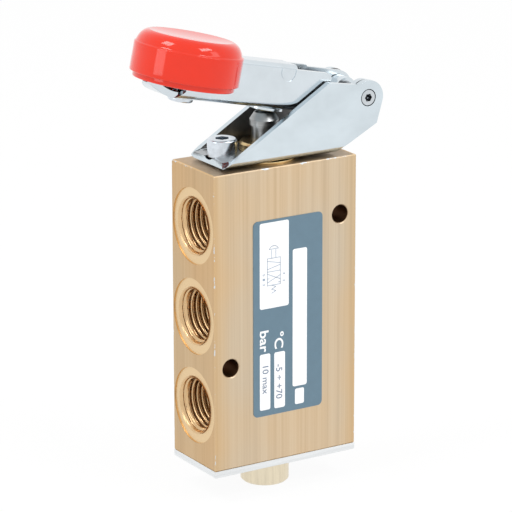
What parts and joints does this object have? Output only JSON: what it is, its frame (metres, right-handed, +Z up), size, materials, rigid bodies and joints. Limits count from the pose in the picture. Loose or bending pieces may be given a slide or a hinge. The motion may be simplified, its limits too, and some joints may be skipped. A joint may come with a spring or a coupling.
{
  "type": "hand lever air valve",
  "caption": "Hand lever spool valve for compressed air: a knobbed lever on a folded bracket presses a plunger that shifts a sprung spool between threaded ports.",
  "frame": {"origin": "centre of the pattern of the two through mounting holes, on the spool's axis and halfway through the body", "axes": "+Z up along the spool to the lever, +X from the three-port face to the pivot end, +Y from the front face with the name plate to the hidden mounting face"},
  "size_m": [0.0611, 0.0252, 0.1126],
  "materials": {
    "anodised_body": "gold-tan anodised, brushed along its length",
    "end_plate_aluminium": "plain satin",
    "zinc_steel": "bright zinc plated",
    "cap_brass": "pale, turned",
    "seal_plastic": "moulded",
    "spool_aluminium": "ground",
    "seal_rubber": "nitrile",
    "cage_plastic": "moulded",
    "spring_steel": "dark oiled",
    "bush_brass": "turned",
    "bracket_steel": "bright zinc plated sheet",
    "knob_plastic": "red, glossy moulded",
    "plate_print": "slate grey with pale panels"
  },
  "bodies": {
    "valve": {"valve_body": "anodised_body", "end_plate": "end_plate_aluminium", "end_plate_screws": "zinc_steel", "spring_cap": "cap_brass", "end_spacer": "seal_plastic", "spool_seals": "seal_rubber", "spool_cages": "cage_plastic", "guide_bush": "bush_brass", "bush_seal": "seal_rubber", "stem_seal": "seal_rubber", "bracket": "bracket_steel", "bracket_screws": "zinc_steel", "pivot_pin": "zinc_steel", "pin_retaining_ring": "spring_steel", "pivot_washers": "zinc_steel", "name_plate": "plate_print"},
    "spool_set": {"spool": "spool_aluminium", "plunger": "zinc_steel", "spring_seat": "cage_plastic", "return_spring": "spring_steel"},
    "lever": {"lever_arm": "bracket_steel", "knob_carrier": "bracket_steel", "contact_pad": "zinc_steel", "pivot_hub": "zinc_steel", "knob": "knob_plastic", "knob_insert": "bush_brass", "knob_screw": "zinc_steel"}
  },
  "joints": [
    {"name": "lever_hinge", "type": "hinge", "parent": "valve", "child": "lever", "pos_m": [0.0233, 0, 0.04295], "axis": [0, -1, 0], "range_deg": [0, 8.4], "stiffness_Nm_per_rad": 0.71, "springref_deg": -7.91},
    {"name": "spool_slide", "type": "slide", "parent": "valve", "child": "spool_set", "axis": [0, 0, -1], "range_m": [0, 0.0032], "deforming": ["return_spring"]}
  ],
  "couplings": [
    {"joint": "spool_slide", "follows": "lever_hinge", "m_per_rad": 0.021765}
  ]
}
